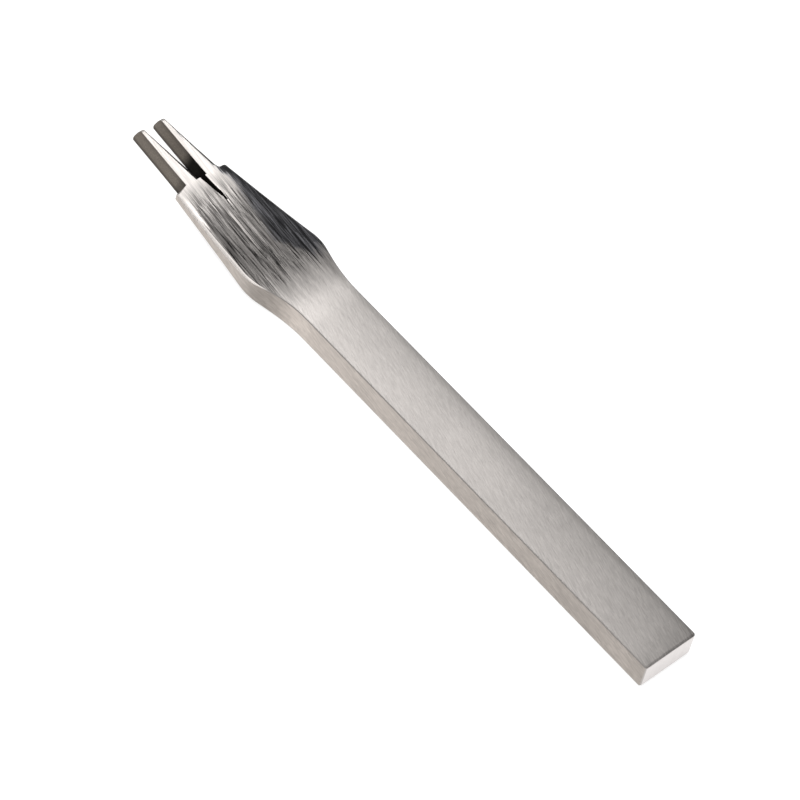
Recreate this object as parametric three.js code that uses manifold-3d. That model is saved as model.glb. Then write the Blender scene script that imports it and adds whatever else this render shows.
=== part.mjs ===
// Pricking iron for leatherwork: one steel bar, ground at one end to a tapered head with two
// slanted teeth. The tool is a single piece of steel, so the part is one body.
//
// Frame, in millimetres: the tool lies flat. X runs along the bar, with the teeth towards -X and
// the struck butt face at the +X end. Y runs across the bar and +Z is up. The shape is drawn with
// the butt face at x = 0 and the middle of the bar's thickness at z = 0. At the end it is moved
// so that its underside rests on z = 0 and its length is centred on the origin.

import * as THREE from 'three';
import { mergeVertices } from 'three/addons/utils/BufferGeometryUtils.js';
import Module from 'manifold-3d';

// ---- bar ----
const BAR_WIDTH = 10;
const BAR_THICKNESS = 5;
const TOOL_LENGTH = 119.1;

// ---- head seen from above: it flares, then narrows to the shoulders ----
// Each knot is [x, half size, half length over which the corner there is rounded].
const NECK = [-79.2, BAR_WIDTH / 2, 4];
const FLARE = [-86.1, 7.2, 1.9];
const BELLY = [-97, 6.1, 8];
const SHOULDER_X = -106.3; // end face of the head, where the teeth begin
const SHOULDER_HALF_WIDTH = 4.92;

// ---- head seen from the side: both faces are ground hollow, down to the parallel teeth ----
const TAPER = [-80.3, BAR_THICKNESS / 2, 3.5];
const HOLLOW = [-93, 1.4, 6];
const TOOTH_START = [-105.5, 0.9, 6.5];
const TIP_HALF_THICKNESS = 0.9;

// ---- edges ----
const BAR_EDGE_RADIUS = 0.2;
const HEAD_EDGE = [-90, 0.42, 3]; // the head's long edges are worn rounder
const HEAD_EDGE_START = [-83, BAR_EDGE_RADIUS, 2];
const SHOULDER_EDGE_RADIUS = 0.28;
const BUTT_RADIUS = 0.45; // edges of the struck face
const TIP_RADIUS = 0.6; // two corners of each tooth's end, seen from the side
const TIP_LEAN = 0.3; // the end of a tooth leans this much towards the butt per mm of height

// ---- teeth: two flat blades that thin towards their ends ----
const TOOTH_PITCH = 4;
const TOOTH_MIDDLE_Y = -0.04; // the pair of teeth sits this far off the bar's centre line
const TOOTH_SLANT = 0.6; // sideways lean of a blade per mm of height
const TOOTH_ROOT_HALF = 1.3; // half width of a blade at the shoulder
const TOOTH_TIP_HALF = 0.29; // half width of a blade at its end

// ---- saw cut that runs on into the head behind the gap between the teeth ----
const KERF_HALF = 0.44; // half width of the cut at the gap
const KERF_Y = -0.09; // middle of the cut at mid thickness
const KERF_MIDWAY = [4.0, 0.31]; // length along the top face and half width there
const KERF_LENGTH = 5.5; // length on the top face, to the pointed end
const KERF_RUNOUT = 1.05; // the cut gets longer by this much per mm of height

// ---- meshing ----
const CORNER_STEPS = 4; // facets round a long edge
const BLEND_STEPS = 12; // stations along a rounded change of direction
const END_STEPS = 4; // stations along the rounding at the butt and at the tips
const STATION_GAP = 0.02; // stations closer than this count as one
const CUT_REACH = 2; // cutters reach this far above and below mid thickness
const CUT_PAST = 1; // and this far past the parts they cut

const wasm = await Module();
wasm.setup();

function toManifold(geometry) {
  const bare = geometry.clone();
  bare.deleteAttribute('normal');
  bare.deleteAttribute('uv');
  const merged = mergeVertices(bare, 1e-5);
  return new wasm.Manifold(
    new wasm.Mesh({
      numProp: 3,
      vertProperties: new Float32Array(merged.attributes.position.array),
      triVerts: new Uint32Array(merged.index.array),
    }),
  );
}

function toGeometry(solid) {
  const mesh = solid.getMesh();
  const geometry = new THREE.BufferGeometry();
  geometry.setAttribute('position', new THREE.BufferAttribute(mesh.vertProperties, 3));
  geometry.setIndex(new THREE.BufferAttribute(mesh.triVerts, 1));
  geometry.computeVertexNormals();
  return geometry;
}

// Moves every vertex of a geometry to the place that move(x, y, z) gives.
function reshape(geometry, move) {
  const position = geometry.attributes.position;
  for (let i = 0; i < position.count; i += 1) {
    position.setXYZ(i, ...move(position.getX(i), position.getY(i), position.getZ(i)));
  }
  return geometry;
}

// Height at x of a line through knots [x, height, blend], listed towards -X. The corner at a knot
// is rounded over x +- blend.
function bentLine(x, knots) {
  const slope = (i) => (knots[i + 1][1] - knots[i][1]) / (knots[i + 1][0] - knots[i][0]);
  let span = 0;
  while (span < knots.length - 2 && x < knots[span + 1][0]) span += 1;
  let height = knots[span][1] + slope(span) * (x - knots[span][0]);
  for (let i = 1; i < knots.length - 1; i += 1) {
    const [at, , blend] = knots[i];
    const inside = blend - Math.abs(x - at);
    if (inside > 0) height += ((slope(i - 1) - slope(i)) * inside ** 2) / (4 * blend);
  }
  return height;
}

const END_HALF_WIDTH =
  BELLY[1] + ((SHOULDER_HALF_WIDTH - BELLY[1]) * (TOOL_LENGTH + BELLY[0])) / (BELLY[0] - SHOULDER_X);
const WIDTH_KNOTS = [[0, BAR_WIDTH / 2], NECK, FLARE, BELLY, [-TOOL_LENGTH, END_HALF_WIDTH]];
const THICKNESS_KNOTS = [
  [0, BAR_THICKNESS / 2],
  TAPER,
  HOLLOW,
  TOOTH_START,
  [-TOOL_LENGTH, TIP_HALF_THICKNESS],
];
const EDGE_KNOTS = [
  [0, BAR_EDGE_RADIUS],
  HEAD_EDGE_START,
  HEAD_EDGE,
  [SHOULDER_X, SHOULDER_EDGE_RADIUS],
];

// How far a rounded end of the given radius draws in, at a distance from the end.
function endInset(radius, distance) {
  if (distance >= radius) return 0;
  return radius - Math.sqrt(radius ** 2 - (radius - distance) ** 2);
}

// Stations along the tool, from the tips to the butt.
function stations() {
  const list = [];
  for (let i = 0; i <= END_STEPS; i += 1) {
    const turn = 1 - Math.cos((i / END_STEPS) * (Math.PI / 2));
    list.push(-TOOL_LENGTH + TIP_RADIUS * turn);
    list.push(-BUTT_RADIUS * turn);
  }
  for (const [at, , blend] of [NECK, FLARE, BELLY, TAPER, HOLLOW, TOOTH_START]) {
    for (let i = 0; i <= BLEND_STEPS; i += 1) list.push(at + blend * ((2 * i) / BLEND_STEPS - 1));
  }
  list.sort((a, b) => a - b);
  return list.filter((x, i) => i === 0 || x - list[i - 1] > STATION_GAP);
}

// Section of the bar, with rounded corners.
function barSection() {
  const w = BAR_WIDTH / 2;
  const h = BAR_THICKNESS / 2;
  const r = BAR_EDGE_RADIUS;
  const section = new THREE.Shape();
  section.moveTo(w, -h + r);
  section.absarc(w - r, h - r, r, 0, Math.PI / 2, false);
  section.absarc(-w + r, h - r, r, Math.PI / 2, Math.PI, false);
  section.absarc(-w + r, -h + r, r, Math.PI, Math.PI * 1.5, false);
  section.absarc(w - r, -h + r, r, Math.PI * 1.5, Math.PI * 2, false);
  return section;
}

// The blank: the bar's section swept along the stations. Each ring takes the width, thickness and
// edge radius of its station. Towards the tips the rings lean with the ends of the teeth.
function blank() {
  const list = stations();
  const steps = list.length - 1;
  const swept = new THREE.ExtrudeGeometry(barSection(), {
    depth: steps,
    steps,
    curveSegments: CORNER_STEPS,
    bevelEnabled: false,
  });
  return reshape(swept, (across, up, along) => {
    const x = list[Math.round(along)];
    const edge = bentLine(Math.max(x, SHOULDER_X), EDGE_KNOTS) / BAR_EDGE_RADIUS;
    const buttInset = endInset(BUTT_RADIUS, -x);
    const tipInset = endInset(TIP_RADIUS, x + TOOL_LENGTH);
    const sideInset = edge * (BAR_WIDTH / 2 - Math.abs(across)) + buttInset;
    const faceInset = edge * (BAR_THICKNESS / 2 - Math.abs(up)) + buttInset + tipInset;
    const z = Math.sign(up) * (bentLine(x, THICKNESS_KNOTS) - faceInset);
    const toTip = Math.max(0, (x - SHOULDER_X) / (-TOOL_LENGTH - SHOULDER_X));
    const lean = TIP_LEAN * toTip * (z + TIP_HALF_THICKNESS - TIP_RADIUS);
    return [x + lean, Math.sign(across) * (bentLine(x, WIDTH_KNOTS) - sideInset), z];
  });
}

// Half width of a blade at x.
function toothHalf(x) {
  const along = (x - SHOULDER_X) / (-TOOL_LENGTH - SHOULDER_X);
  return TOOTH_ROOT_HALF + (TOOTH_TIP_HALF - TOOTH_ROOT_HALF) * along;
}

// A cutter from the shoulder out past the tips, between the slanted planes whose positions at
// mid thickness are left(x) and right(x).
function toothCutter(left, right) {
  const cutter = reshape(new THREE.BoxGeometry(1, 1, 1), (along, across, up) => {
    const x = along > 0 ? SHOULDER_X : -TOOL_LENGTH - CUT_PAST;
    const z = Math.sign(up) * CUT_REACH;
    const y = across > 0 ? right(x) : left(x);
    return [x, y + TOOTH_SLANT * z, z];
  });
  return toManifold(cutter);
}

// The saw cut seen from above, from inside the gap to its pointed end, leaning with the teeth.
function kerfCutter() {
  const start = -CUT_PAST;
  const [midway, midwayHalf] = KERF_MIDWAY;
  const outline = new THREE.Shape();
  outline.moveTo(start, -KERF_HALF);
  outline.lineTo(0, -KERF_HALF);
  outline.lineTo(midway, -midwayHalf);
  outline.lineTo(KERF_LENGTH, 0);
  outline.lineTo(midway, midwayHalf);
  outline.lineTo(0, KERF_HALF);
  outline.lineTo(start, KERF_HALF);
  const slab = new THREE.ExtrudeGeometry(outline, { depth: 2 * CUT_REACH, bevelEnabled: false });
  const topFace = TOOTH_START[1];
  const cutter = reshape(slab, (along, across, up) => {
    const z = up - CUT_REACH;
    const reach = along > 0 ? along + KERF_RUNOUT * (z - topFace) : along;
    return [SHOULDER_X + reach, KERF_Y + across + TOOTH_SLANT * z, z];
  });
  return toManifold(cutter);
}

function prickingIron() {
  const past = FLARE[1] + CUT_PAST;
  const left = TOOTH_MIDDLE_Y - TOOTH_PITCH / 2;
  const right = TOOTH_MIDDLE_Y + TOOTH_PITCH / 2;
  let solid = toManifold(blank());
  const cutters = [
    toothCutter((x) => left + toothHalf(x), (x) => right - toothHalf(x)),
    toothCutter(() => -past, (x) => left - toothHalf(x)),
    toothCutter((x) => right + toothHalf(x), () => past),
    kerfCutter(),
  ];
  for (const cutter of cutters) solid = solid.subtract(cutter);
  return toGeometry(solid);
}

const steel = new THREE.MeshStandardMaterial({
  color: new THREE.Color(0.62, 0.6, 0.58),
  roughness: 0.38,
  metalness: 1,
});

const body = new THREE.Mesh(prickingIron(), steel);
body.name = 'pricking_iron_body';
body.geometry.translate(TOOL_LENGTH / 2, 0, BAR_THICKNESS / 2);

const part = new THREE.Group();
part.name = 'pricking_iron';
part.add(body);

export default part;
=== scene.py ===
"""Looks of the pricking iron: one piece of ground steel, lying flat on a pale floor.

The visible piece is swept along the tool like the CAD body it stands for, with finer rings and a
slightly crowned bar. Cutters then free the teeth, and leave bevels along the teeth's sharp upper
edges and on the shoulders. Lengths are millimetres from the butt face (x = 0, teeth at -x) and
from the middle of the bar's thickness. The near side is at -y, and so is the left tooth.
"""

import math
from types import SimpleNamespace

import bmesh
import bpy
from mathutils import Matrix, Vector


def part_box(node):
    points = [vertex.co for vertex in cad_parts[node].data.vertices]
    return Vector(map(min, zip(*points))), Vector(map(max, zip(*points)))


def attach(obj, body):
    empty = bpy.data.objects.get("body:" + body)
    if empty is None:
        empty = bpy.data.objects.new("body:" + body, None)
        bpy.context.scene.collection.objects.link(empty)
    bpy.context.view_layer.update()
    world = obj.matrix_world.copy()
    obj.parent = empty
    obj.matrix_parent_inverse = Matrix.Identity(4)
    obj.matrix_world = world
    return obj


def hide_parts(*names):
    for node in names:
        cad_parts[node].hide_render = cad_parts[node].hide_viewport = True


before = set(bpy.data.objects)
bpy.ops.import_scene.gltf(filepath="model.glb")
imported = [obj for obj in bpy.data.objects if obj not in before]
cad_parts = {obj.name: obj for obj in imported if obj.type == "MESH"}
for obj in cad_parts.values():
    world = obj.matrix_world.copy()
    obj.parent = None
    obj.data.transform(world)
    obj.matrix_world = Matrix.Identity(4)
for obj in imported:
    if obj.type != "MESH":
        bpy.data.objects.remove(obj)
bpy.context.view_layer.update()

NODE = "pricking_iron_body"
MM = 0.001
LOW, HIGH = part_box(NODE)
MIDDLE = Vector((HIGH.x, 0, (LOW.z + HIGH.z) / 2))  # the middle of the butt face
CLEARANCE = 0.001  # the visible piece is this much thinner than the CAD body
BAR_THICKNESS = (HIGH.z - LOW.z) / MM - CLEARANCE
BAR_WIDTH = 10.0
TOOL_LENGTH = 119.09  # at mid height of the leaning tips, a hair shorter than the CAD body

# ---- outline of the tool: knots are (x, half size, half length of the rounding there) ----
NECK = (-79.2, BAR_WIDTH / 2, 4.0)
FLARE = (-86.1, 7.2, 1.9)
BELLY = (-97.0, 6.1, 8.0)
SHOULDER_X = -106.3
SHOULDER_HALF_WIDTH = 4.92
TAPER = (-80.3, BAR_THICKNESS / 2, 3.5)
HOLLOW = (-93.0, 1.4, 6.0)
TOOTH_START = (-105.5, 0.9, 6.5)
TIP_HALF_THICKNESS = 0.9
END_HALF_WIDTH = BELLY[1] + (SHOULDER_HALF_WIDTH - BELLY[1]) * (TOOL_LENGTH + BELLY[0]) / (
    BELLY[0] - SHOULDER_X
)
WIDTH_KNOTS = [(0.0, BAR_WIDTH / 2, 0), NECK, FLARE, BELLY, (-TOOL_LENGTH, END_HALF_WIDTH, 0)]
THICKNESS_KNOTS = [
    (0.0, BAR_THICKNESS / 2, 0),
    TAPER,
    HOLLOW,
    TOOTH_START,
    (-TOOL_LENGTH, TIP_HALF_THICKNESS, 0),
]

# ---- roundings ----
BAR_EDGE_RADIUS = 0.2
EDGE_KNOTS = [
    (0.0, BAR_EDGE_RADIUS, 0),
    (-83.0, BAR_EDGE_RADIUS, 2.0),
    (-90.0, 0.42, 3.0),
    (SHOULDER_X, 0.28, 0),
]
BEVEL_FLATNESS = 0.7  # 0 leaves the head's long edges round, 1 makes them plain bevels
BEVEL_X = (-82, -87)  # the edges turn from round to bevelled here
BUTT_RADIUS = 0.45
TIP_RADIUS = 0.6
TIP_LEAN = 0.3

# ---- teeth ----
TOOTH_PITCH = 4.0
TOOTH_MIDDLE_Y = -0.04
TOOTH_SLANT = 0.6
TOOTH_ROOT_HALF = 1.3
TOOTH_TIP_HALF = 0.29
TOOTH_EDGE_RADIUS = 0.07  # the blunt long edges
TOOTH_BEVEL_ROOT = 0.68  # width of the bevel on the sharp upper edges
TOOTH_BEVEL_TIP = 0.20
TOOTH_BEVEL_STEEPNESS = 0.36
GAP_ROOT_BEVEL = 0.10

# ---- shoulders ----
LEFT_SHOULDER_BEVEL = (0.06, 1.90)  # next to the tooth, and at the outer end of its cutter
RIGHT_SHOULDER_BEVEL = 0.42
SHOULDER_STEEPNESS = 0.5
CORNER_RADIUS = 0.50  # outer corner of the right shoulder, seen from above
CORNER_PAST = 0.04  # the corner's arc ends this far outside the head
CORNER_RUNOUT = (1.2, 0.30)  # the cutter's wall leaves the metal: along, past the half width
FILLET_RADIUS = 0.40  # between the right tooth and its shoulder
FILLET_BACK = 0.003  # keeps the fillet's first point clear of the corner's last one
FILLET_GAP = 0.3  # from the fillet to the next station along the tooth
QUARTER_STEPS = 6

# ---- saw cut behind the gap between the teeth ----
KERF_HALF = 0.46
KERF_RUNOUT = 1.05  # the cut gets longer by this much per mm of height
KERF_STEP = 0.02  # the least distance between its rings
KERF_EDGE_RADIUS = 0.09
KERF_PLAN = (  # length along the head, half width, middle
    (-1.0, 0.47, -0.14),
    (0.0, 0.47, -0.14),
    (0.6, 0.45, -0.12),
    (1.4, 0.38, -0.09),
    (2.5, 0.345, -0.09),
    (3.3, 0.30, -0.06),
    (3.9, 0.29, 0.0),
    (4.4, 0.25, -0.03),
    (4.9, 0.15, -0.01),
    (5.6, 0.07, 0.0),
)
SCORE_DEPTH = 0.08
SCORE_TURN = -0.16  # sideways drift per mm
SCORE_FLOOR_HALF = 0.01
SCORE_PLAN = ((5.0, 0.10), (5.8, 0.10), (6.8, 0.07), (8.0, 0.01))  # length, half width

# ---- relief left by grinding ----
CROWN = 0.06  # the bar's faces are this much lower at their edges
CROWN_X = (-108, -98)  # the crown fades in over this stretch
GRIND_DEPTH = 0.010
GRIND_TURN = -0.12  # the grinding marks on the head drift sideways by this much per mm
GRIND_FADE_IN = (-80.5, -86.0)
GRIND_FADE_OUT = (-104, -107)
GRIND_OFFSET = 0.7  # sets the grooves of the two faces apart
GRIND_WAVES = (  # share, turn per mm across, start, and the wobble: size, turn per mm along, start
    (0.5, 4.1, 0.0, 0.9, 0.21, 0),
    (0.3, 7.7, 1.3, 0.7, 0.33, 2),
    (0.2, 12.9, 4.0, 0.6, 0.5, 1),
)


def bent_line(x, knots):
    """Height at x of a line through knots listed towards -x, rounded at each inner knot."""

    def slope(i):
        return (knots[i + 1][1] - knots[i][1]) / (knots[i + 1][0] - knots[i][0])

    span = 0
    while span < len(knots) - 2 and x < knots[span + 1][0]:
        span += 1
    height = knots[span][1] + slope(span) * (x - knots[span][0])
    for i in range(1, len(knots) - 1):
        at, _, blend = knots[i]
        inside = blend - abs(x - at)
        if inside > 0:
            height += (slope(i - 1) - slope(i)) * inside**2 / (4 * blend)
    return height


def end_inset(radius, distance):
    """How far a rounded end draws in at a distance from the end."""
    if distance >= radius:
        return 0.0
    return radius - math.sqrt(max(0.0, radius**2 - (radius - distance) ** 2))


def smooth_step(low, high, value):
    """0 at low, 1 at high, smooth between; low may be above high."""
    t = min(1.0, max(0.0, (value - low) / (high - low)))
    return t * t * (3 - 2 * t)


def half_thickness(x):
    return bent_line(x, THICKNESS_KNOTS)


def tip_lean(x, z):
    """The ends of the teeth lean back: how far a point at height z moves towards the butt."""
    to_tip = max(0.0, (x - SHOULDER_X) / (-TOOL_LENGTH - SHOULDER_X))
    return TIP_LEAN * to_tip * (z + TIP_HALF_THICKNESS - TIP_RADIUS)


def grind_relief(x, y, z_sign):
    """Shallow lengthwise grooves on the ground head, as a depth below the face."""
    strength = smooth_step(*GRIND_FADE_IN, x) * (1 - smooth_step(*GRIND_FADE_OUT, x))
    if strength == 0:
        return 0.0
    across = y - GRIND_TURN * (x - FLARE[0]) + GRIND_OFFSET * z_sign
    wave = 0.0
    for share, turn, start, wobble, wobble_turn, wobble_start in GRIND_WAVES:
        bend = wobble * math.sin(x * wobble_turn + wobble_start)
        wave += share * math.sin(across * turn + start + bend)
    return GRIND_DEPTH * strength * 0.5 * (1 + wave)


# ---- stations and section of the swept blank ----
FACE_POINTS = 96
SIDE_POINTS = 10
CORNER_POINTS = 6
CORNERS = ((-1, 1, -0.5), (1, 1, 0.0), (1, -1, 0.5), (-1, -1, 1.0))  # z side, y side, half turns
END_STEPS = 7  # stations round the butt's edges and the tips
HEAD_FROM = -72  # from here to the teeth the stations are closer
BAR_STEP = 4.0
HEAD_STEP = 0.45
SHOULDER_REACH = 0.6  # finer stations this far on both sides of the shoulder
SHOULDER_STEP = 0.2
TOOTH_STEP = 0.8
STATION_GAP = 0.01  # stations closer than this count as one


def spaced(start, stop, step):
    """Equal steps from start to stop, as near to the given step as they fit."""
    count = max(1, round(abs(stop - start) / step))
    return [start + (stop - start) * i / count for i in range(count + 1)]


def stations():
    """Places along the tool, from the tips to the butt."""
    turns = [1 - math.cos(math.pi / 2 * i / END_STEPS) for i in range(END_STEPS + 1)]
    before, behind = SHOULDER_X - SHOULDER_REACH, SHOULDER_X + SHOULDER_REACH
    xs = [-BUTT_RADIUS * t for t in turns]
    xs += [-TOOL_LENGTH + TIP_RADIUS * t for t in turns]
    xs += spaced(-BUTT_RADIUS, HEAD_FROM, BAR_STEP)
    xs += spaced(HEAD_FROM, behind, HEAD_STEP)
    xs += spaced(behind, before, SHOULDER_STEP)
    xs += spaced(before, -TOOL_LENGTH + TIP_RADIUS, TOOTH_STEP)
    xs.sort()
    kept = [xs[0]]
    for x in xs[1:]:
        if x - kept[-1] > STATION_GAP:
            kept.append(x)
    return kept


def corner_offsets(y_sign, z_sign, start, flat):
    """Offsets (y, z) round a corner of radius 1, flattened towards a plain bevel."""
    offsets = []
    for i in range(CORNER_POINTS + 1):
        angle = math.pi * (start + 0.5 * i / CORNER_POINTS)
        along = i / CORNER_POINTS if y_sign == z_sign else 1 - i / CORNER_POINTS
        round_y, round_z = math.cos(angle), math.sin(angle)
        bevel_y, bevel_z = y_sign * (1 - along), z_sign * along
        offsets.append((round_y + flat * (bevel_y - round_y), round_z + flat * (bevel_z - round_z)))
    return offsets


def ring(x):
    """Points of the section at x, anticlockwise seen from +x: y to the right, z up."""
    radius = bent_line(max(x, SHOULDER_X), EDGE_KNOTS)
    butt = end_inset(BUTT_RADIUS, -x)
    tip = end_inset(TIP_RADIUS, x + TOOL_LENGTH)
    w = bent_line(x, WIDTH_KNOTS) - butt - radius
    h = half_thickness(x) - butt - tip - radius
    crown = CROWN * smooth_step(*CROWN_X, x)
    flat = BEVEL_FLATNESS * smooth_step(*BEVEL_X, x)
    points = []
    for z_sign, y_sign, start in CORNERS:
        for y_offset, z_offset in corner_offsets(y_sign, z_sign, start, flat):
            points.append((y_sign * w + radius * y_offset, z_sign * (h - crown) + radius * z_offset))
        if y_sign == z_sign:  # on to a broad face, top or bottom
            for i in range(1, FACE_POINTS):
                t = 1 - 2 * i / FACE_POINTS
                y = z_sign * t * w
                z = h + radius - crown * t * t - grind_relief(x, y, z_sign)
                points.append((y, z_sign * z))
        else:  # on to a narrow side
            for i in range(1, SIDE_POINTS):
                t = 1 - 2 * i / SIDE_POINTS
                points.append((y_sign * (w + radius), z_sign * t * (h - crown)))
    return [(x + tip_lean(x, z), y, z) for y, z in points]


def grid_mesh(name, rings):
    """A closed tube of quads through equal rings. Each end is a strip between its two halves."""
    count = len(rings[0])
    verts = [p for points in rings for p in points]
    faces = []
    for i in range(len(rings) - 1):
        for j in range(count):
            k = (j + 1) % count
            a, b = i * count, (i + 1) * count
            faces.append((a + j, b + j, b + k, a + k))
    for base in (0, (len(rings) - 1) * count):
        for j in range(count // 2 - 1):
            a, b, c, d = (base + k for k in (j, j + 1, count - 2 - j, count - 1 - j))
            faces += [(a, b, c), (a, c, d)]
    mesh = bpy.data.meshes.new(name)
    mesh.from_pydata(verts, [], faces)
    bm = bmesh.new()
    bm.from_mesh(mesh)
    bmesh.ops.recalc_face_normals(bm, faces=bm.faces)
    bm.to_mesh(mesh)
    bm.free()
    return mesh


def add_object(name, data):
    """Puts a mesh, a lamp or a camera into the scene."""
    obj = bpy.data.objects.new(name, data)
    bpy.context.scene.collection.objects.link(obj)
    return obj


# ---- cutters that free the teeth ----
REACH = 2.0  # cutters reach this far above and below mid thickness
PAST = 1.0  # and this far past the parts they cut
# Depths below a face at which a cut's wall has points, for its bevel or rounding
DEPTHS = (0.40, 0.32, 0.26, 0.20, 0.15, 0.11, 0.08, 0.055, 0.035, 0.018, 0.006)


def roundover(radius, depth):
    """How far a rounded edge has drawn back at a depth below the face."""
    depth = max(depth, DEPTHS[-1])
    return radius - math.sqrt(max(0.0, radius**2 - max(0.0, radius - depth) ** 2))


def wall_levels(top):
    """Heights up a cut wall as (z, depth below the nearer face), from below to above."""
    upper = [(top - depth, depth) for depth in DEPTHS] + [(REACH, 0.0)]
    return [(-z, depth) for z, depth in reversed(upper)] + upper


def tooth_half(x):
    """Half width of a tooth at x."""
    along = (x - SHOULDER_X) / (-TOOL_LENGTH - SHOULDER_X)
    return TOOTH_ROOT_HALF + (TOOTH_TIP_HALF - TOOTH_ROOT_HALF) * along


def tooth_bevel(x, depth):
    """How far the bevel on a tooth's sharp long edge has drawn back at a depth below the face."""
    along = min(1.0, (x - SHOULDER_X) / (-TOOL_LENGTH - SHOULDER_X))
    width = TOOTH_BEVEL_ROOT + (TOOTH_BEVEL_TIP - TOOTH_BEVEL_ROOT) * along
    return max(0.0, width - depth / TOOTH_BEVEL_STEEPNESS)


def shoulder_bevel(width, depth):
    """How far a shoulder's bevel has drawn back at a depth below the face."""
    return max(0.0, width - depth / SHOULDER_STEEPNESS)


def tooth_stations():
    """Places along a tooth, from the shoulder out past the tip."""
    return spaced(SHOULDER_X, -TOOL_LENGTH - PAST, TOOTH_STEP)


def wall_opening(side, x, depth, upper):
    """How far a tooth's edge draws back: side -1 is sharp on top, 1 is blunt."""
    sharp = side == -1 and upper
    return tooth_bevel(x, depth) if sharp else roundover(TOOTH_EDGE_RADIUS, depth)


def straight_wall(side, where, shoulder_width):
    """A wall along a tooth, as points (x, y, share of the slant) for a depth below the face.

    Side -1 opens towards -y and 1 towards +y. Side 0 is a plain wall beyond the metal.
    """

    def line(depth, upper):
        points = []
        for i, x in enumerate(tooth_stations()):
            back = shoulder_bevel(shoulder_width, depth) if i == 0 else 0.0
            points.append((x + back, where(x) + side * wall_opening(side, x, depth, upper), 1))
        return points

    return line


def right_wall(where):
    """The wall round the right shoulder's corner, through the fillet and along the tooth."""
    corner_x = SHOULDER_X + CORNER_RADIUS
    corner_y = SHOULDER_HALF_WIDTH + CORNER_PAST - CORNER_RADIUS
    fillet_x = SHOULDER_X - FILLET_RADIUS
    fillet_y = where(SHOULDER_X) + FILLET_RADIUS
    quarter = [math.pi / 2 * i / QUARTER_STEPS for i in range(QUARTER_STEPS + 1)]

    def line(depth, upper):
        inset = shoulder_bevel(RIGHT_SHOULDER_BEVEL, depth)
        points = [(corner_x + CORNER_RUNOUT[0], SHOULDER_HALF_WIDTH + CORNER_RUNOUT[1], 0)]
        radius = CORNER_RADIUS - inset
        for turn in quarter:
            points.append((corner_x - radius * math.sin(turn), corner_y + radius * math.cos(turn), 0))
        radius = FILLET_RADIUS + inset
        for turn in quarter:
            x = fillet_x + radius * math.cos(turn) - FILLET_BACK
            points.append((x, fillet_y - radius * math.sin(turn), 1))
        for x in tooth_stations():
            if x < fillet_x - FILLET_GAP:
                points.append((x, where(x) - wall_opening(-1, x, depth, upper), 1))
        return points

    return line


def far_wall(line, y):
    """A wall beyond the metal at y, with the same stations as another wall."""
    return lambda depth, upper: [(x, y, 0) for x, _, _ in line(depth, upper)]


def wall_cutter(name, left, right):
    """Cutter from the shoulder past the tips, between two walls."""
    rings = []
    for i, (x, _, _) in enumerate(left(REACH, True)):
        levels = wall_levels(half_thickness(min(SHOULDER_X, max(x, -TOOL_LENGTH))))
        points = []
        for wall, heights in ((right, levels), (left, reversed(levels))):
            for z, depth in heights:
                at, across, slant = wall(depth, z > 0)[i]
                points.append((at, across + slant * TOOTH_SLANT * z, z))
        rings.append(points)
    return add_object(name, grid_mesh(name, rings))


def kerf_cutter(name):
    """The saw cut: its floor slopes up into the head, and it narrows to a point."""
    rings = []
    for i, (along, half, middle) in enumerate(KERF_PLAN):
        levels = wall_levels(half_thickness(SHOULDER_X + along))
        points = []
        for side in (1, -1):
            for z, depth in levels if side == 1 else reversed(levels):
                reach = along
                if along > 0:  # the runout never passes the rings before it
                    reach = max(along + KERF_RUNOUT * (z - TOOTH_START[1]), KERF_STEP * i)
                opening = half + roundover(KERF_EDGE_RADIUS, depth) * half / KERF_HALF
                y = middle + side * opening + TOOTH_SLANT * z
                points.append((SHOULDER_X + reach, y, z))
        rings.append(points)
    return add_object(name, grid_mesh(name, rings))


def score_cutter(name):
    """The shallow scratch in which the saw cut dies out."""
    rings = []
    start = KERF_PLAN[-1][2] + TOOTH_SLANT * TOOTH_START[1]
    for along, half in SCORE_PLAN:
        x = SHOULDER_X + along
        y = start + SCORE_TURN * (along - SCORE_PLAN[0][0])
        wide = half * REACH / SCORE_DEPTH
        floor = half_thickness(x) - SCORE_DEPTH
        rings.append(
            [
                (x, y + wide, floor + REACH),
                (x, y - wide, floor + REACH),
                (x, y - SCORE_FLOOR_HALF, floor),
                (x, y + SCORE_FLOOR_HALF, floor),
            ]
        )
    return add_object(name, grid_mesh(name, rings))


def cut(obj, cutters):
    """Takes the cutters out of obj and removes them."""
    for cutter in cutters:
        modifier = obj.modifiers.new("cut", "BOOLEAN")
        modifier.operation = "DIFFERENCE"
        modifier.solver = "EXACT"
        modifier.object = cutter
    depsgraph = bpy.context.evaluated_depsgraph_get()
    mesh = bpy.data.meshes.new_from_object(obj.evaluated_get(depsgraph))
    obj.modifiers.clear()
    obj.data = mesh
    for cutter in cutters:
        bpy.data.objects.remove(cutter)


# ---- the finished piece ----
SHARP_ANGLE = math.radians(20)  # edges that turn by more than this stay sharp
WELD_GAP = 0.002
SLIVER = 0.001


def smooth_by_angle(mesh):
    """Welds doubled points and shades every face smooth, up to the sharp edges."""
    bm = bmesh.new()
    bm.from_mesh(mesh)
    bmesh.ops.remove_doubles(bm, verts=bm.verts, dist=WELD_GAP)
    bmesh.ops.dissolve_degenerate(bm, dist=SLIVER, edges=bm.edges)
    for face in bm.faces:
        face.smooth = True
    for edge in bm.edges:
        edge.smooth = len(edge.link_faces) == 2 and edge.calc_face_angle(0.0) < SHARP_ANGLE
    bm.to_mesh(mesh)
    bm.free()


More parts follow.
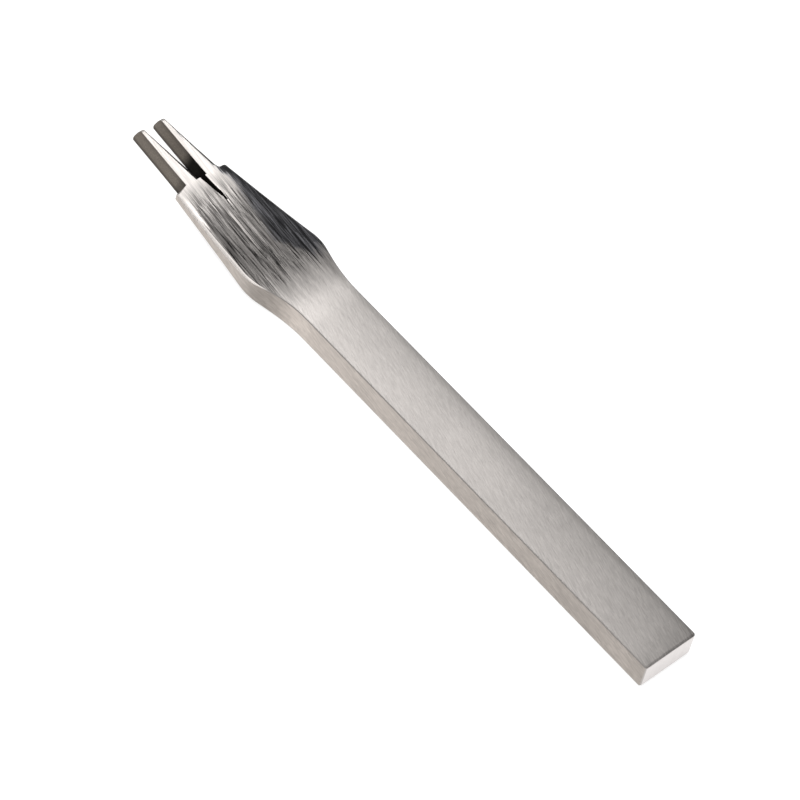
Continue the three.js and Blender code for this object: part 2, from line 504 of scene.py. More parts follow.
def build_tool():
    past = FLARE[1] + PAST
    left_y = TOOTH_MIDDLE_Y - TOOTH_PITCH / 2
    right_y = TOOTH_MIDDLE_Y + TOOTH_PITCH / 2
    inner, outer = LEFT_SHOULDER_BEVEL
    gap_left = straight_wall(-1, lambda x: left_y + tooth_half(x), GAP_ROOT_BEVEL)
    gap_right = straight_wall(1, lambda x: right_y - tooth_half(x), GAP_ROOT_BEVEL)
    left_outer = straight_wall(0, lambda x: -past, outer)
    left_inner = straight_wall(1, lambda x: left_y - tooth_half(x), inner)
    right_inner = right_wall(lambda x: right_y + tooth_half(x))
    tool = add_object("pricking_iron", grid_mesh("pricking_iron", [ring(x) for x in stations()]))
    cutters = [
        wall_cutter("gap", gap_left, gap_right),
        wall_cutter("left", left_outer, left_inner),
        wall_cutter("right", right_inner, far_wall(right_inner, past)),
        kerf_cutter("kerf"),
        score_cutter("score"),
    ]
    cut(tool, cutters)
    smooth_by_angle(tool.data)
    tool.data.transform(Matrix.Translation(MIDDLE) @ Matrix.Scale(MM, 4))
    return tool


# ---- node trees ----
class Nodes:
    """Short calls for building a node tree. A span is (where a mask is 0, where it is 1)."""

    def __init__(self, owner):
        owner.use_nodes = True
        self.tree = owner.node_tree
        self.tree.nodes.clear()

    def add(self, kind, inputs=None, **settings):
        node = self.tree.nodes.new(kind)
        for key, value in settings.items():
            setattr(node, key, value)
        for key, value in (inputs or {}).items():
            self.put(node.inputs[key], value)
        return node

    def put(self, socket, value):
        if isinstance(value, bpy.types.NodeSocket):
            self.tree.links.new(value, socket)
        else:
            socket.default_value = value

    def math(self, operation, a, b=0.0, c=0.0):
        node = self.add("ShaderNodeMath", operation=operation)
        for socket, value in zip(node.inputs, (a, b, c)):
            self.put(socket, value)
        return node.outputs[0]

    def times(self, first, *others):
        """The product of all its values."""
        for value in others:
            first = self.math("MULTIPLY", first, value)
        return first

    def madd(self, a, b, c):
        """a * b + c"""
        return self.math("MULTIPLY_ADD", a, b, c)

    def gain(self, mask, amount):
        """A factor of 1 where the mask is 0, and of 1 + amount where it is 1."""
        return self.madd(mask, amount, 1.0)

    def step(self, value, span):
        """A mask that rises smoothly over the span, which may run either way."""
        node = self.add("ShaderNodeMapRange", interpolation_type="SMOOTHSTEP")
        for key, v in zip(("Value", "From Min", "From Max"), (value, *span)):
            self.put(node.inputs[key], v)
        return node.outputs["Result"]

    def within(self, value, rise, fall):
        """A mask that rises over one span and falls again over the other."""
        return self.times(self.step(value, rise), self.step(value, fall))

    def scale(self, value, span, result):
        """The value's span mapped in a straight line to the result's pair, and held beyond it."""
        node = self.add("ShaderNodeMapRange")
        keys = ("Value", "From Min", "From Max", "To Min", "To Max")
        for key, v in zip(keys, (value, *span, *result)):
            self.put(node.inputs[key], v)
        return node.outputs["Result"]

    def mix(self, factor, a, b, kind="RGBA"):
        """a where the factor is 0, b where it is 1."""
        node = self.add("ShaderNodeMix", data_type=kind)
        for key, value in (("Factor", factor), ("A", a), ("B", b)):
            self.put(node.inputs[key], value)
        return node.outputs["Result"]

    def blend(self, factor, a, b):
        """As mix, for plain numbers."""
        return self.mix(factor, a, b, kind="FLOAT")

    def fade(self, value, span, ends):
        """The first of two ends before the span, the second after it."""
        return self.blend(self.step(value, span), *ends)

    def noise(self, vector, detail=2.0, roughness=0.5, scale=1.0):
        inputs = {"Vector": vector, "Scale": scale, "Detail": detail, "Roughness": roughness}
        return self.add("ShaderNodeTexNoise", inputs).outputs["Fac"]

    def combine(self, x, y, z):
        return self.add("ShaderNodeCombineXYZ", {"X": x, "Y": y, "Z": z}).outputs[0]

    def separate(self, vector):
        return self.add("ShaderNodeSeparateXYZ", {"Vector": vector}).outputs

    def tinted(self, value, tint):
        node = self.add("ShaderNodeVectorMath", operation="SCALE")
        self.put(node.inputs[0], tint)
        self.put(node.inputs["Scale"], value)
        return node.outputs[0]


# ---- steel: colours, marks and places ----
# A tone is the share of light that the steel reflects. A span's mask is 0 at its first end and 1 at
# its second. Spans named _X and _Y are millimetres, _RIM is millimetres past a long edge of the
# head, _HEAD is the share of the way from the shoulder to the flare, and _FACING is a part of the
# surface's normal.
WARM_STEEL = (1.0, 0.945, 0.905)
WARM_SIDE = (1.0, 0.90, 0.82)
# cool tint of the painted shade on the head
COOL_SHADE_TINT = (0.95, 0.945, 1.0)
STRUCK_STEEL = (1.0, 0.95, 0.93)
DULL_BROWN = (1.0, 0.88, 0.76)

# marks: how many per mm along the tool, how many per mm across it, and a start of their own
BRUSH = (0.5, 5.5, 0.0)
HAIR = (0.9, 5.0, 5.0)
LONG_BRUSH = (0.06, 1.4, 2.0)
BRUSH_TURN = 0.27  # the brushing drifts sideways by this much per mm
CLOUD_PER_MM = 0.16
GRAIN_PER_MM = 5.0
WIDE_STREAKS = (0.1, 1.1, 3.0)
MIDDLE_STREAKS = (0.11, 2.6, 7.0)
THIN_STROKES = (0.17, 4.2, 23.0)
THINNER_STROKES = (0.3, 6.5, 57.0)
SOFT_STREAKS = (0.25, 7.0, 9.0)
SCRATCHES = (0.13, 3.4, 41.0)
STREAK_SHARES = (0.16, 0.30, 0.17, 0.15, 0.22)  # wide, middle, thin, thinner and soft
NOISE_SPAN = (0.3, 0.7)  # where most of a noise lies
STREAK_SPAN = (0.38, 0.62)

BROAD_FACING = (0.80, 0.95)
SIDE_FACING = (0.72, 0.93)
BUTT_FACING = (0.80, 0.95)
FLANK_FACING = (0.90, 0.75)
FLANK_X = (-97.6, -98.2)
FLANK_Y = (4.6, 4.3)


def stretched(n, x, across, marks):
    """A place in a pattern of marks that is drawn out along the tool."""
    per_mm_along, per_mm_across, start = marks
    return n.combine(n.times(x, per_mm_along), n.times(across, per_mm_across), start)


def strokes(n, x, across, marks):
    """Random tone of overlapping long thin strokes, as a file or a belt leaves them."""
    place = stretched(n, x, across, marks)
    cell = n.add("ShaderNodeTexVoronoi", {"Vector": place, "Scale": 1.0, "Randomness": 1.0})
    return n.add("ShaderNodeSeparateColor", {"Color": cell.outputs["Color"]}).outputs[0]


def surface_places(n):
    """Where a point of the steel is, which way it faces and which kind of surface it is on."""
    at = SimpleNamespace()
    place = n.separate(n.add("ShaderNodeTexCoord").outputs["Object"])
    at.x = n.madd(place["X"], 1 / MM, -HIGH.x / MM)
    at.y = n.times(place["Y"], 1 / MM)
    at.z = n.madd(place["Z"], 1 / MM, -BAR_THICKNESS / 2)
    at.point = n.combine(at.x, at.y, at.z)
    at.normal = n.separate(n.add("ShaderNodeNewGeometry").outputs["Normal"])
    at.faces_up = n.math("ABSOLUTE", at.normal["Z"])
    at.faces_across = n.math("ABSOLUTE", at.normal["Y"])
    at.broad = n.step(at.faces_up, BROAD_FACING)
    at.side = n.step(at.faces_across, SIDE_FACING)
    at.butt = n.step(at.normal["X"], BUTT_FACING)
    inner = n.times(n.step(at.x, FLANK_X), n.step(n.math("ABSOLUTE", at.y), FLANK_Y))
    at.flank = n.times(inner, n.step(at.faces_up, FLANK_FACING))
    at.along_head = n.scale(at.x, (SHOULDER_X, FLARE[0]), (0, 1))
    return at


def brush_marks(n, at):
    """Fine brushing of the bar, turned a little from its length."""
    across = n.blend(at.side, at.y, at.z)
    turned = n.madd(at.x, BRUSH_TURN, across)
    return SimpleNamespace(
        fine=n.noise(stretched(n, at.x, turned, BRUSH), detail=3.0, roughness=0.6),
        hair=strokes(n, at.x, turned, HAIR),
        long=n.noise(stretched(n, at.x, across, LONG_BRUSH)),
        cloud=n.noise(at.point, scale=CLOUD_PER_MM),
    )


def grind_marks(n, at):
    """Coarse grinding of the head: overlapping strokes that drift to one side."""
    drift = n.madd(n.math("ADD", at.x, -FLARE[0]), -GRIND_TURN, at.y)
    thin = strokes(n, at.x, drift, THIN_STROKES)
    thinner = strokes(n, at.x, drift, THINNER_STROKES)
    layers = (
        n.noise(stretched(n, at.x, drift, WIDE_STREAKS)),
        n.noise(stretched(n, at.x, drift, MIDDLE_STREAKS), detail=3.0, roughness=0.65),
        thin,
        thinner,
        n.noise(stretched(n, at.x, drift, SOFT_STREAKS), detail=3.0, roughness=0.7),
    )
    streak = 0.0
    for layer, share in zip(layers, STREAK_SHARES):
        streak = n.madd(layer, share, streak)
    return SimpleNamespace(
        thin=thin,
        thinner=thinner,
        scratch=strokes(n, at.x, drift, SCRATCHES),
        streak=streak,
        centred=n.math("SUBTRACT", streak, 0.5),
        swing=n.scale(streak, STREAK_SPAN, (-1.0, 1.0)),
    )


# ---- steel: the brushed bar ----
FINE_SWING = (0.86, 1.14)  # how far each kind of mark lowers and raises the tone
HAIR_SWING = (0.84, 1.16)
LONG_SWING = (0.975, 1.025)
CLOUD_SWING = (0.97, 1.03)
SATIN_TONE = 0.47
BAR_LIGHT_ALONG = ((-76, 0), (1.04, 0.70))  # painted light falling off along the bar: x from the neck to the butt, and the tone there
BAR_LIGHT_ACROSS = ((-5, 5), (1.09, 0.78))  # painted light and shade across the bar: y from the near edge to the far one, and the tone there
# painted shade along the bar's far edge
FAR_EDGE_SHADE_Y = (3.5, 4.6)
FAR_EDGE_SHADE_GAIN = -0.17
NECK_RISE = (-79.5, -77)
NECK_FALL = (-72.5, -76)
NECK_GAIN = 0.13
HEAD_START_X = (-84.5, -76.5)
HEAD_START_TONES = (0.60, 1.10)
MIDWAY_RISE = (-62, -42)
MIDWAY_FALL = (-24, -40)
MIDWAY_GAIN = 0.12
MIDWAY_Y = (4.5, 0.5)  # the light patch midway keeps off the long edges
BUTT_SIDE_X = (-16, -4)
BUTT_SIDE_GAIN = 0.14
SIDE_X = (-82, -90)  # the narrow side by the bar and by the head
SIDE_TONES = (0.83, 1.36)
FIRST_STREAKS_X = (-76.5, -84)  # grinding that runs out on to the bar
FIRST_STREAKS = 0.34


def satin_color(n, at, brush, grind):
    """The brushed bar: painted light and shade that change slowly along and across it, times the
    brushing.
    """
    neck_light = n.within(at.x, NECK_RISE, NECK_FALL)
    midway_light = n.within(at.x, MIDWAY_RISE, MIDWAY_FALL)
    midway_light = n.times(midway_light, n.step(n.math("ABSOLUTE", at.y), MIDWAY_Y))
    butt_light = n.times(n.step(at.x, BUTT_SIDE_X), at.side)
    far_edge_shade = n.times(n.step(at.y, FAR_EDGE_SHADE_Y), FAR_EDGE_SHADE_GAIN)
    broad_tone = n.math("ADD", n.scale(at.y, *BAR_LIGHT_ACROSS), far_edge_shade)
    first_streaks = n.times(n.step(at.x, FIRST_STREAKS_X), FIRST_STREAKS, grind.swing, at.broad)
    tone = n.times(
        n.scale(brush.fine, NOISE_SPAN, FINE_SWING),
        n.scale(brush.hair, (0, 1), HAIR_SWING),
        n.scale(at.x, *BAR_LIGHT_ALONG),
        n.gain(neck_light, NECK_GAIN),
        n.fade(at.x, HEAD_START_X, HEAD_START_TONES),
        n.gain(midway_light, MIDWAY_GAIN),
        n.gain(butt_light, BUTT_SIDE_GAIN),
        n.scale(brush.long, NOISE_SPAN, LONG_SWING),
        n.scale(brush.cloud, NOISE_SPAN, CLOUD_SWING),
        n.blend(at.side, broad_tone, n.fade(at.x, SIDE_X, SIDE_TONES)),
        SATIN_TONE,
        n.gain(first_streaks, 1.0),
    )
    return n.mix(at.side, n.tinted(tone, WARM_STEEL), n.tinted(tone, WARM_SIDE))


# ---- steel: the ground head, painted reflections light by the teeth and dark in the hollow, painted shade darkest at the far side ----
GROUND_X = (-82.0, -85.5)
GROUND_RAGGED = 9.0  # how far single strokes run past the line where the grinding starts
HEAD_REFLECTION_TONES = ((0.0, 0.86), (0.18, 0.41), (0.36, 0.20), (0.6, 0.14), (0.85, 0.12), (1.0, 0.14))
HEAD_WIDENING = 0.113  # the head's half width grows by this much per mm from the shoulder

SHADE_TONE = 0.042
SHADE_CORNER = (-90.0, 1.4)  # where the far side's shade comes nearest to the middle
SHADE_SLOPES = (-0.2, 0.5)  # its border from there, towards the teeth and towards the bar
SHADE_LIMIT_X = (-104.0, -105.6)
SHADE_LIMITS = (3.85, 3.3)
SHADE_RAGGED = 4.0  # how far single strokes run past its border
SHADE_SPAN = (-0.4, 0.5)
SHADE_RIM = (-0.65, -0.35)  # the far edge is in the shade all along
DEEP_SHADE_RIM = (-1.5, -0.6)
DEEP_SHADE_HEAD = (0.75, 0.45)
DEEP_SHADE_GAIN = -0.5

DARK_REFLECTION_RISE = (-2.6, -1.2)  # the painted dark reflection band and the painted highlight band follow the near edge
DARK_REFLECTION_FALL = (-0.5, -0.9)
DARK_REFLECTION_HEAD = ((0.2, 0.35), (1.0, 0.6))  # where it rises, and where it falls again
DARK_REFLECTION_GAIN = -0.35
# painted highlight along the bevel of the near edge
HIGHLIGHT_BAND_RIM = (-0.75, -0.40)
HIGHLIGHT_BAND_HEAD = (0.55, 0.25)
HIGHLIGHT_BAND_TONE = 0.80

STROKE_HEAD = (0.02, 0.3)  # contrast of the strokes
STROKE_SWINGS = (0.15, 0.95)
STROKE_LEVEL = 1.06
HIGHLIGHT_BAND_CALM = -0.8  # the strokes are weaker on the painted highlight band
BRIGHT_SCRATCH = (0.87, 0.95)
BRIGHT_SCRATCH_HEAD = (0.05, 0.25)
BRIGHT_SCRATCH_GAIN = 0.75
DARK_SCRATCH = (0.14, 0.06)
DARK_SCRATCH_HEAD = (0.02, 0.15)
DARK_SCRATCH_GAIN = -0.45
SHADE_GLINT = (0.80, 0.95)  # single strokes that still show in the shade
SHADE_GLINT_TONE = 0.03

KERF_SIDE = ((SHOULDER_X, SHOULDER_X + 5), (0.97, 0.64))  # x and y of the saw cut's far side
KERF_LIGHT_RISE = (-0.15, 0.0)  # past that side
KERF_LIGHT_FALL = (0.38, 0.18)
KERF_LIGHT_HEAD = (0.24, 0.19)
KERF_LIGHT_TONE = 0.93
TONE_LIMITS = (0.012, 0.95)


def ground_mask(n, at, grind):
    """The ground part of the broad faces, which starts in a ragged line."""
    ragged_x = n.madd(grind.centred, GROUND_RAGGED, at.x)
    return n.times(n.step(ragged_x, GROUND_X), at.broad)


def head_edges(n, at):
    """How far a point is past the head's near and far long edges; inside the head it is below 0."""
    half_width = n.madd(at.x, HEAD_WIDENING, SHOULDER_HALF_WIDTH - HEAD_WIDENING * SHOULDER_X)
    past_near = n.madd(at.y, -1.0, n.times(half_width, -1.0))
    past_far = n.math("SUBTRACT", at.y, half_width)
    return past_near, past_far


def shade_mask(n, at, grind, past_far):
    """Painted shade on the dark far side of the head, with a ragged border."""
    corner_x, corner_y = SHADE_CORNER
    sides = [n.madd(at.x, slope, corner_y - slope * corner_x) for slope in SHADE_SLOPES]
    limit = n.fade(at.x, SHADE_LIMIT_X, SHADE_LIMITS)
    border = n.math("MINIMUM", n.math("MAXIMUM", *sides), limit)
    ragged_y = n.madd(grind.centred, SHADE_RAGGED, at.y)
    shade = n.step(n.math("SUBTRACT", ragged_y, border), SHADE_SPAN)
    return n.math("MAXIMUM", shade, n.step(past_far, SHADE_RIM))


def hollow_reflection_tone(n, at):
    """Painted reflection on the ground face from the shoulder to the flare, as a smooth curve of tone.
    """
    node = n.add("ShaderNodeFloatCurve", {"Value": at.along_head})
    curve = node.mapping.curves[0]
    curve.points[0].location = HEAD_REFLECTION_TONES[0]
    curve.points[1].location = HEAD_REFLECTION_TONES[-1]
    for where, tone in HEAD_REFLECTION_TONES[1:-1]:
        curve.points.new(where, tone)
    node.mapping.update()
    return node.outputs[0]


def stroke_tone(n, at, grind, tone, shade, highlight_band):
    """The ground face's tone with its strokes and with single bright and dark scratches."""
    contrast = n.fade(at.along_head, STROKE_HEAD, STROKE_SWINGS)
    contrast = n.times(contrast, n.gain(highlight_band, HIGHLIGHT_BAND_CALM))
    bright = n.times(n.step(grind.scratch, BRIGHT_SCRATCH), n.step(at.along_head, BRIGHT_SCRATCH_HEAD))
    dark = n.times(n.step(grind.scratch, DARK_SCRATCH), n.step(at.along_head, DARK_SCRATCH_HEAD))
    glint = n.times(n.step(grind.thinner, SHADE_GLINT), shade)
    tone = n.times(tone, n.madd(grind.swing, contrast, STROKE_LEVEL))
    tone = n.times(tone, n.gain(bright, BRIGHT_SCRATCH_GAIN))
    tone = n.madd(glint, SHADE_GLINT_TONE, tone)
    return n.times(tone, n.gain(dark, DARK_SCRATCH_GAIN))


def kerf_light(n, at):
    """The painted highlight along the far side of the saw cut."""
    past_kerf = n.math("SUBTRACT", at.y, n.scale(at.x, *KERF_SIDE))
    beside = n.within(past_kerf, KERF_LIGHT_RISE, KERF_LIGHT_FALL)
    return n.times(beside, n.step(at.along_head, KERF_LIGHT_HEAD))


def ground_color(n, at, grind):
    """The ground head: its painted reflection along the hollow, a painted dark reflection band and a
    painted highlight band by the near edge, painted shade, and strokes.
    """
    past_near, past_far = head_edges(n, at)
    shade = shade_mask(n, at, grind, past_far)
    dark_reflection_band = n.within(past_near, DARK_REFLECTION_RISE, DARK_REFLECTION_FALL)
    dark_reflection_band = n.times(dark_reflection_band, n.within(at.along_head, *DARK_REFLECTION_HEAD))
    highlight_band = n.times(n.step(past_near, HIGHLIGHT_BAND_RIM), n.step(at.along_head, HIGHLIGHT_BAND_HEAD))
    deep = n.times(n.step(past_far, DEEP_SHADE_RIM), n.step(at.along_head, DEEP_SHADE_HEAD))
    tone = n.times(hollow_reflection_tone(n, at), n.gain(dark_reflection_band, DARK_REFLECTION_GAIN))
    tone = n.blend(highlight_band, tone, HIGHLIGHT_BAND_TONE)
    tone = n.blend(shade, tone, n.times(n.gain(deep, DEEP_SHADE_GAIN), SHADE_TONE))
    tone = stroke_tone(n, at, grind, tone, shade, highlight_band)
    tone = n.blend(kerf_light(n, at), tone, KERF_LIGHT_TONE)
    tone = n.math("MAXIMUM", n.math("MINIMUM", tone, TONE_LIMITS[1]), TONE_LIMITS[0])
    return n.mix(shade, n.tinted(tone, WARM_STEEL), n.tinted(tone, COOL_SHADE_TINT))


# ---- steel: edges, flanks and shoulders ----
BUTT_TONE = 0.66
EDGE_FACING = (0.95, 0.85)
EDGE_BUTT_FACING = (0.5, 0.3)
BAR_EDGE_TONE = 0.30
HEAD_EDGE_X = (-82, -85)
HEAD_EDGE_LIGHT_AND_SHADE = (0.95, 0.05)  # painted highlight on the near side, painted dark reflection on the far one
FAR_FACING = (-0.3, 0.3)

FLANK_TONE = 0.225
GRAIN_SWING = (0.80, 1.2)
# painted shade deep in the gap between the teeth
GAP_ROOT_SHADE_X = (-111.9, -109.4)
GAP_ROOT_SHADE_Y = (1.95, 1.75)  # to both sides of the teeth's middle
GAP_ROOT_SHADE_TONE = 0.02
# painted shade on the flanks near the shoulder
FLANK_ROOT_SHADE_X = (-108.4, -106.8)
FLANK_ROOT_SHADE_TONE = 0.55
FLANK_LOW_REFLECTION = ((-0.80, -0.40), (0.42, 1.0))  # painted dark reflection along the lower edge
FLANK_HIGH = ((0.3, 0.9), (1.08, 0.78))  # and a darker upper edge

SHARP_EDGE_X = (-105.4, -106.4)
SHARP_FAR_FACING = (0.12, 0.3)
SHARP_UP_FACING = (0.3, 0.5)
SHARP_EDGE_REFLECTION_TONE = ((-107, -117), (0.06, 0.30))  # x from the root to the tip, and the tone of the painted dark reflection there
SHOULDER_RISE = (-105.2, -105.8)
SHOULDER_FALL = (-107.5, -106.8)
SHOULDER_FACING = (-0.15, -0.4)
SHOULDER_Y = (-1, 1)
SHOULDER_REFLECTION_TONES = (0.50, 0.03)  # painted reflections, grey on the left and dark on the right


def edge_color(n, at):
    """The long edges, one tone on the bar, and on the head a painted highlight on the near side and a
    painted dark reflection on the far one.
    """
    head_edge_light_and_shade = n.fade(at.normal["Y"], FAR_FACING, HEAD_EDGE_LIGHT_AND_SHADE)
    return n.tinted(n.blend(n.step(at.x, HEAD_EDGE_X), BAR_EDGE_TONE, head_edge_light_and_shade), WARM_STEEL)


def edge_mask(n, at):
    """Slanting strips between the broad faces and the sides, except round the butt."""
    edge = n.times(n.step(at.faces_up, EDGE_FACING), n.step(at.faces_across, EDGE_FACING))
    return n.times(edge, n.step(at.normal["X"], EDGE_BUTT_FACING))


def flank_color(n, at, grain):
    """Dull flanks of the teeth, with painted shade at the root of the gap and by the shoulder, and a
    painted dark reflection along their lower edges.
    """
    tone = n.times(n.scale(grain, NOISE_SPAN, GRAIN_SWING), FLANK_TONE)
    from_middle = n.math("ABSOLUTE", n.math("SUBTRACT", at.y, TOOTH_MIDDLE_Y))
    gap_root_shade = n.times(n.step(at.x, GAP_ROOT_SHADE_X), n.step(from_middle, GAP_ROOT_SHADE_Y))
    tone = n.blend(gap_root_shade, tone, GAP_ROOT_SHADE_TONE)
    tone = n.blend(n.step(at.x, FLANK_ROOT_SHADE_X), tone, n.times(tone, FLANK_ROOT_SHADE_TONE))
    tone = n.times(tone, n.scale(at.z, *FLANK_LOW_REFLECTION), n.scale(at.z, *FLANK_HIGH))
    return n.tinted(tone, DULL_BROWN)


def sharp_edge_mask(n, at):
    """The bevels on the upper edges of the teeth, which face up and to the far side and carry a
    painted dark reflection.
    """
    sharp = n.times(n.step(at.normal["Y"], SHARP_FAR_FACING), n.step(at.faces_up, SHARP_UP_FACING))
    return n.times(sharp, n.step(at.x, SHARP_EDGE_X))


def sharp_edge_reflection_color(n, at):
    return n.tinted(n.scale(at.x, *SHARP_EDGE_REFLECTION_TONE), WARM_STEEL)


def shoulder_mask(n, at):
    """The bevelled rims of the shoulders, which face the teeth."""
    rim = n.times(n.step(at.x, SHOULDER_RISE), n.step(at.normal["X"], SHOULDER_FACING))
    return n.times(rim, n.step(at.x, SHOULDER_FALL))


# painted reflections on the shoulders' rims
def shoulder_reflection_color(n, at):
    left, right = (n.tinted(tone, WARM_STEEL) for tone in SHOULDER_REFLECTION_TONES)
    return n.mix(n.step(at.y, SHOULDER_Y), left, right)


# ---- steel: relief, roughness and the whole ----
FINE_HEIGHT = 0.6  # heights of the marks, in units of the bump's distance
HAIR_HEIGHT = 0.25
STREAK_HEIGHT = 3.0
GRAIN_HEIGHT = 2.5
BUMP_STRENGTH = 0.6
BUMP_DISTANCE = 0.01 * MM

BAR_ROUGHNESS = (0.34, 0.42)
HOLLOW_ROUGHNESS = (0.20, 0.32)
BY_SHOULDER_HEAD = (0.30, 0.05)
BY_SHOULDER_ROUGHNESS = 0.38
FLANK_ROUGHNESS = 0.6


def steel_bump(n, at, brush, grind, ground, grain):
    """Relief of the marks, as a normal."""
    fine = n.math("ADD", n.times(brush.fine, FINE_HEIGHT), n.times(brush.hair, HAIR_HEIGHT))
    height = n.blend(ground, fine, n.times(grind.streak, STREAK_HEIGHT))
    height = n.blend(at.flank, height, n.times(grain, GRAIN_HEIGHT))
    inputs = {"Strength": BUMP_STRENGTH, "Distance": BUMP_DISTANCE, "Height": height}
    return n.add("ShaderNodeBump", inputs).outputs[0]


def steel_roughness(n, at, brush, grind, ground, shoulder):
    """Satin on the bar, smoother in the hollow, dull on the flanks and the shoulders."""
    bar = n.scale(brush.hair, (0, 1), BAR_ROUGHNESS)
    hollow = n.scale(grind.thin, (0, 1), HOLLOW_ROUGHNESS)
    head = n.blend(n.step(at.along_head, BY_SHOULDER_HEAD), hollow, BY_SHOULDER_ROUGHNESS)
    dull = n.math("MAXIMUM", at.flank, shoulder)
    return n.blend(dull, n.blend(ground, bar, head), FLANK_ROUGHNESS)


def steel_material():
    material = bpy.data.materials.new("satin_steel")
    n = Nodes(material)
    at = surface_places(n)
    brush = brush_marks(n, at)
    grind = grind_marks(n, at)
    grain = n.noise(at.point, detail=3.0, roughness=0.7, scale=GRAIN_PER_MM)
    ground = ground_mask(n, at, grind)
    shoulder = shoulder_mask(n, at)
    color = n.mix(ground, satin_color(n, at, brush, grind), ground_color(n, at, grind))
    color = n.mix(at.butt, color, n.tinted(BUTT_TONE, STRUCK_STEEL))
    color = n.mix(edge_mask(n, at), color, edge_color(n, at))
    color = n.mix(at.flank, color, flank_color(n, at, grain))
    color = n.mix(sharp_edge_mask(n, at), color, sharp_edge_reflection_color(n, at))
    color = n.mix(shoulder, color, shoulder_reflection_color(n, at))
    inputs = {
        "Base Color": color,
        "Metallic": 1.0,
        "Roughness": steel_roughness(n, at, brush, grind, ground, shoulder),
        "Normal": steel_bump(n, at, brush, grind, ground, grain),
    }
    shader = n.add("ShaderNodeBsdfPrincipled", inputs)
    n.add("ShaderNodeOutputMaterial", {"Surface": shader.outputs[0]})
    return material


# ---- floor: a plain white sheet that gives off some light of its own ----
FLOOR_HALF = 3.0  # metres
FLOOR_GAP = 0.0002  # between the floor and the tool's underside
FLOOR_GREY = 0.46
FLOOR_GLOW = 0.76


def make_floor():
    mesh = bpy.data.meshes.new("floor")
    corners = [(x * FLOOR_HALF, y * FLOOR_HALF, 0) for x, y in ((-1, -1), (1, -1), (1, 1), (-1, 1))]
    mesh.from_pydata(corners, [], [(0, 1, 2, 3)])
    floor = add_object("floor", mesh)
    floor.location.z = LOW.z - FLOOR_GAP
    material = bpy.data.materials.new("floor_white")
    n = Nodes(material)
    diffuse = n.add("ShaderNodeBsdfDiffuse", {"Color": (FLOOR_GREY, FLOOR_GREY, FLOOR_GREY, 1)})
    glow = n.add("ShaderNodeEmission", {"Color": (1, 1, 1, 1), "Strength": FLOOR_GLOW})
    total = n.add("ShaderNodeAddShader", {0: diffuse.outputs[0], 1: glow.outputs[0]})
    n.add("ShaderNodeOutputMaterial", {"Surface": total.outputs[0]})
    mesh.materials.append(material)


# ---- surroundings; a panel is (azimuth, elevation, half size, half size with its soft edge) ----
SKY_RISE = (0.10, 0.65)  # the upward part of the direction
SKY_TONES = (0.16, 0.62)  # low down and high up
NEAR_WALL_Y = (-0.25, -0.6)
NEAR_WALL_UP = (0.25, 0.42)
NEAR_WALL_LIGHT = 0.6
DARK_PANEL = (146, 38, 7, 16)
DARK_PANEL_GAIN = -0.7
LIGHT_PANEL = (132, 53, 7, 14)
LIGHT_PANEL_LIGHT = 1.9


def direction(azimuth, elevation):
    """The unit vector towards a place in the surroundings."""
    a, e = math.radians(azimuth), math.radians(elevation)
    return (math.cos(e) * math.cos(a), math.cos(e) * math.sin(a), math.sin(e))


def panel_mask(n, towards, azimuth, elevation, inner, outer):
    """1 on a round patch of the surroundings, with a soft edge."""
    aims = {0: towards, 1: direction(azimuth, elevation)}
    dot = n.add("ShaderNodeVectorMath", aims, operation="DOT_PRODUCT")
    edges = (math.cos(math.radians(outer)), math.cos(math.radians(inner)))
    return n.step(dot.outputs["Value"], edges)


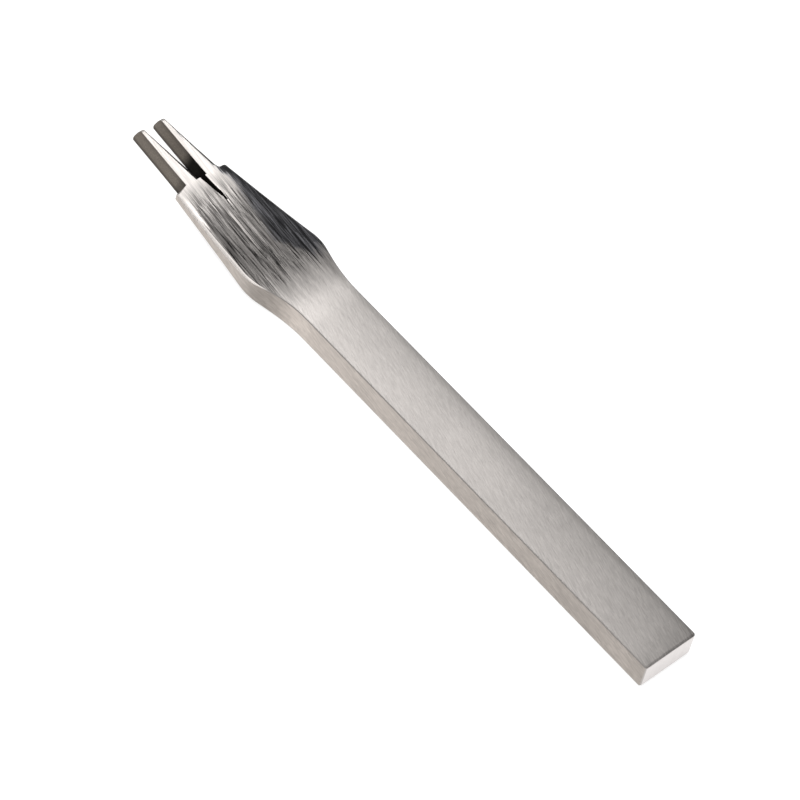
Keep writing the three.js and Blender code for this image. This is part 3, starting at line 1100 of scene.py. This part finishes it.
def make_world():
    """A pale sky with a light wall on the near side, a dark panel and a bright one."""
    world = bpy.data.worlds.new("studio")
    bpy.context.scene.world = world
    n = Nodes(world)
    towards = n.add("ShaderNodeTexCoord").outputs["Generated"]
    parts = n.separate(towards)
    near_wall = n.times(n.step(parts["Y"], NEAR_WALL_Y), n.step(parts["Z"], NEAR_WALL_UP))
    light = n.scale(n.step(parts["Z"], SKY_RISE), (0, 1), SKY_TONES)
    light = n.madd(near_wall, NEAR_WALL_LIGHT, light)
    light = n.times(light, n.gain(panel_mask(n, towards, *DARK_PANEL), DARK_PANEL_GAIN))
    light = n.madd(panel_mask(n, towards, *LIGHT_PANEL), LIGHT_PANEL_LIGHT, light)
    path = n.add("ShaderNodeLightPath")
    light = n.blend(path.outputs["Is Camera Ray"], light, 1.0)  # seen directly, it is plain white
    color = n.add("ShaderNodeCombineColor", {"Red": light, "Green": light, "Blue": light})
    background = n.add("ShaderNodeBackground", {"Color": color.outputs[0], "Strength": 1.0})
    n.add("ShaderNodeOutputWorld", {"Surface": background.outputs[0]})


# ---- lamp and camera ----
LAMP_SIZE = 0.5  # metres
LAMP_PLACE = (-0.1, -0.1, 0.9)
LAMP_POWER = 4.0
CAMERA_AZIMUTH = 37.75
CAMERA_ELEVATION = 53.13
CAMERA_ROLL = -13.97
CAMERA_FOCAL = 4.8801  # in frame widths
CAMERA_PLACE = Vector((155.285, -276.027, 462.646))  # millimetres, from the butt face
SENSOR_WIDTH = 36
CLIP_START = 0.01


def make_lamp():
    light = bpy.data.lights.new("softbox", "AREA")
    light.shape = "DISK"
    light.size = LAMP_SIZE
    light.energy = LAMP_POWER
    lamp = add_object("softbox", light)
    lamp.location = LAMP_PLACE
    lamp.rotation_euler = (-lamp.location).to_track_quat("-Z", "Y").to_euler()
    lamp.visible_glossy = False


def make_camera():
    camera = add_object("camera", bpy.data.cameras.new("camera"))
    bpy.context.scene.camera = camera
    camera.data.sensor_fit = "HORIZONTAL"
    camera.data.sensor_width = SENSOR_WIDTH
    camera.data.lens = SENSOR_WIDTH * CAMERA_FOCAL
    camera.data.clip_start = CLIP_START
    camera.location = MIDDLE + CAMERA_PLACE * MM
    a, e = math.radians(CAMERA_AZIMUTH), math.radians(CAMERA_ELEVATION)
    back = Vector((math.sin(a) * math.cos(e), -math.cos(a) * math.cos(e), math.sin(e)))
    right = Vector((math.cos(a), math.sin(a), 0))
    turn = Matrix((right, back.cross(right), back)).transposed()
    roll = Matrix.Rotation(math.radians(-CAMERA_ROLL), 3, "Z")
    camera.rotation_euler = (turn @ roll).to_euler()


tool = build_tool()
tool.data.materials.clear()
tool.data.materials.append(steel_material())
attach(tool, "root")
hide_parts(NODE)
make_floor()
make_world()
make_lamp()
make_camera()

view = bpy.context.scene.view_settings
view.view_transform = "Standard"
view.look = "None"
